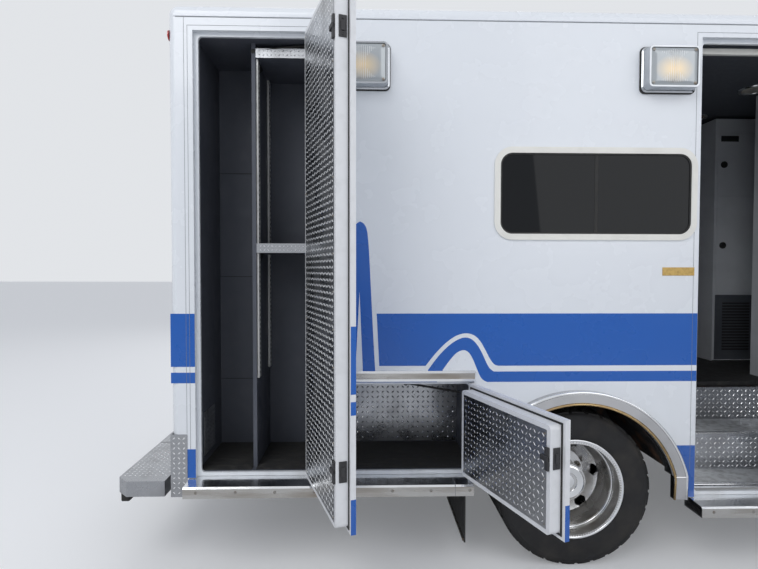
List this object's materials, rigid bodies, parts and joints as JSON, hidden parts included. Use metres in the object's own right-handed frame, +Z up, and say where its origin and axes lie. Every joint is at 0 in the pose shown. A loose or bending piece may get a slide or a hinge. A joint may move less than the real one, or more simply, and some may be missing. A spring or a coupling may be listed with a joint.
{
  "type": "truck-based ambulance with a modular patient body",
  "caption": "Boxy patient module on a truck chassis with a conventional cab, opening compartment and entry doors, steering front wheels and twin rear wheels.",
  "frame": {"origin": "on the ground, at the middle of the footprint taken with the curb-side doors open as stored", "axes": "+X forward along the truck, +Y to the street side, +Z up"},
  "size_m": [7.577, 3.3304, 2.8449],
  "materials": {
    "white_paint": "gloss white paint with a blue stripe",
    "polished_metal": "polished, weathered and dented",
    "diamond_plate": "bright tread plate",
    "liner_dark": "charcoal coated sheet",
    "chassis_black": "black chassis paint with rust",
    "cast_metal": "rough cast",
    "tyre_rubber": "dusty black rubber",
    "rim_metal": "polished wheel with dirt",
    "black_rubber": "matt black rubber",
    "glass_dark": "tinted",
    "glass_clear": "clear",
    "lamp_lens": "clear ribbed lens in a chromed bezel",
    "red_lens": "red lens in a chromed bezel",
    "chrome_bright": "bright",
    "cabinet_grey": "light grey laminate",
    "vinyl_dark": "dark vinyl",
    "trim_dark": "grained dark plastic",
    "galvanised": "dull galvanised sheet"
  },
  "bodies": {
    "root": {"curb_wall": "white_paint", "street_wall": "white_paint", "rear_wall": "white_paint", "front_wall": "white_paint", "module_roof": "white_paint", "module_floor": "chassis_black", "tall_compartment": "liner_dark", "side_compartments": "liner_dark", "entry_steps": "diamond_plate", "module_windows": "glass_dark", "module_lamps": "lamp_lens", "tail_lamps": "red_lens", "side_trim": "polished_metal", "mud_flaps": "black_rubber", "rear_bumper": "diamond_plate", "corner_guards": "diamond_plate", "frame_rails": "chassis_black", "leaf_springs": "chassis_black", "front_axle": "cast_metal", "rear_axle": "cast_metal", "drive_shaft": "chassis_black", "engine": "cast_metal", "radiator": "trim_dark", "exhaust": "galvanised", "fuel_tank": "chassis_black", "cab_shell": "white_paint", "cab_glass": "glass_clear", "fenders": "white_paint", "grille": "chrome_bright", "headlamps": "lamp_lens", "front_bumper": "chrome_bright", "dashboard": "trim_dark", "seats": "vinyl_dark", "bench_cushions": "vinyl_dark", "cabinets": "cabinet_grey", "cab_steps": "diamond_plate"},
    "tall_door": {"tall_door": "white_paint"},
    "lower_door": {"lower_door": "white_paint"},
    "entry_door": {"entry_door": "white_paint"},
    "forward_door": {"forward_door": "white_paint"},
    "street_rear_door": {"street_rear_door": "white_paint"},
    "street_front_door": {"street_front_door": "white_paint"},
    "rear_door_curb": {"rear_door_curb": "white_paint"},
    "rear_door_street": {"rear_door_street": "white_paint"},
    "flip_step": {"flip_step": "diamond_plate"},
    "hood": {"hood": "white_paint"},
    "cab_door_left": {"cab_door_left": "white_paint"},
    "cab_door_right": {"cab_door_right": "white_paint"},
    "knuckle_left": {"knuckle_left": "cast_metal"},
    "knuckle_right": {"knuckle_right": "cast_metal"},
    "rear_wheels_left": {"rear_tyres_left": "tyre_rubber", "rear_rims_left": "rim_metal"},
    "front_wheel_left": {"front_tyre_left": "tyre_rubber", "front_rim_left": "rim_metal"},
    "rear_wheels_right": {"rear_tyres_right": "tyre_rubber", "rear_rims_right": "rim_metal"},
    "front_wheel_right": {"front_tyre_right": "tyre_rubber", "front_rim_right": "rim_metal"}
  },
  "joints": [
    {"name": "rear_left_spin", "type": "hinge", "parent": "root", "child": "rear_wheels_left", "pos_m": [-1.4485, 1.26925, 0.4035], "axis": [0, 1, 0], "continuous": true},
    {"name": "steer_left", "type": "hinge", "parent": "root", "child": "knuckle_left", "pos_m": [2.8235, 1.10425, 0.4035], "axis": [0, 0, 1], "range_deg": [-32, 32]},
    {"name": "front_left_spin", "type": "hinge", "parent": "knuckle_left", "child": "front_wheel_left", "pos_m": [2.8235, 1.21925, 0.4035], "axis": [0, 1, 0], "continuous": true},
    {"name": "cab_left_swing", "type": "hinge", "parent": "root", "child": "cab_door_left", "pos_m": [2.0665, 1.35525, 1.2], "axis": [0, 0, -1], "range_deg": [0, 68]},
    {"name": "rear_right_spin", "type": "hinge", "parent": "root", "child": "rear_wheels_right", "pos_m": [-1.4485, -0.59075, 0.4035], "axis": [0, 1, 0], "continuous": true},
    {"name": "steer_right", "type": "hinge", "parent": "root", "child": "knuckle_right", "pos_m": [2.8235, -0.42575, 0.4035], "axis": [0, 0, 1], "range_deg": [-32, 32]},
    {"name": "front_right_spin", "type": "hinge", "parent": "knuckle_right", "child": "front_wheel_right", "pos_m": [2.8235, -0.54075, 0.4035], "axis": [0, 1, 0], "continuous": true},
    {"name": "cab_right_swing", "type": "hinge", "parent": "root", "child": "cab_door_right", "pos_m": [2.0665, -0.67675, 1.2], "axis": [0, 0, 1], "range_deg": [0, 68]},
    {"name": "tall_door_swing", "type": "hinge", "parent": "root", "child": "tall_door", "pos_m": [-2.758, -0.88575, 1.606], "axis": [0, 0, 1], "range_deg": [-108, 5]},
    {"name": "lower_door_swing", "type": "hinge", "parent": "root", "child": "lower_door", "pos_m": [-1.989, -0.88575, 0.7395], "axis": [0, 0, 1], "range_deg": [-110, 5]},
    {"name": "entry_door_swing", "type": "hinge", "parent": "root", "child": "entry_door", "pos_m": [-0.048, -0.88575, 1.544], "axis": [0, 0, 1], "range_deg": [-100, 5]},
    {"name": "forward_door_swing", "type": "hinge", "parent": "root", "child": "forward_door", "pos_m": [0.58, -0.88575, 1.544], "axis": [0, 0, 1], "range_deg": [0, 100]},
    {"name": "street_rear_door_swing", "type": "hinge", "parent": "root", "child": "street_rear_door", "pos_m": [-2.82, 1.56425, 1.606], "axis": [0, 0, -1], "range_deg": [0, 100]},
    {"name": "street_front_door_swing", "type": "hinge", "parent": "root", "child": "street_front_door", "pos_m": [0.58, 1.56425, 1.544], "axis": [0, 0, -1], "range_deg": [0, 100]},
    {"name": "rear_door_street_swing", "type": "hinge", "parent": "root", "child": "rear_door_street", "pos_m": [-3.5095, 0.98275, 1.7], "axis": [0, 0, -1], "range_deg": [0, 105]},
    {"name": "rear_door_curb_swing", "type": "hinge", "parent": "root", "child": "rear_door_curb", "pos_m": [-3.5095, -0.30425, 1.7], "axis": [0, 0, 1], "range_deg": [0, 105]},
    {"name": "flip_step_swing", "type": "hinge", "parent": "root", "child": "flip_step", "pos_m": [-3.5255, 0.33925, 0.469], "axis": [0, 1, 0], "range_deg": [0, 90]},
    {"name": "hood_swing", "type": "hinge", "parent": "root", "child": "hood", "pos_m": [2.1445, 0.33925, 1.43], "axis": [0, -1, 0], "range_deg": [0, 55]}
  ],
  "couplings": [
    {"joint": "steer_right", "follows": "steer_left", "ratio": 1}
  ]
}
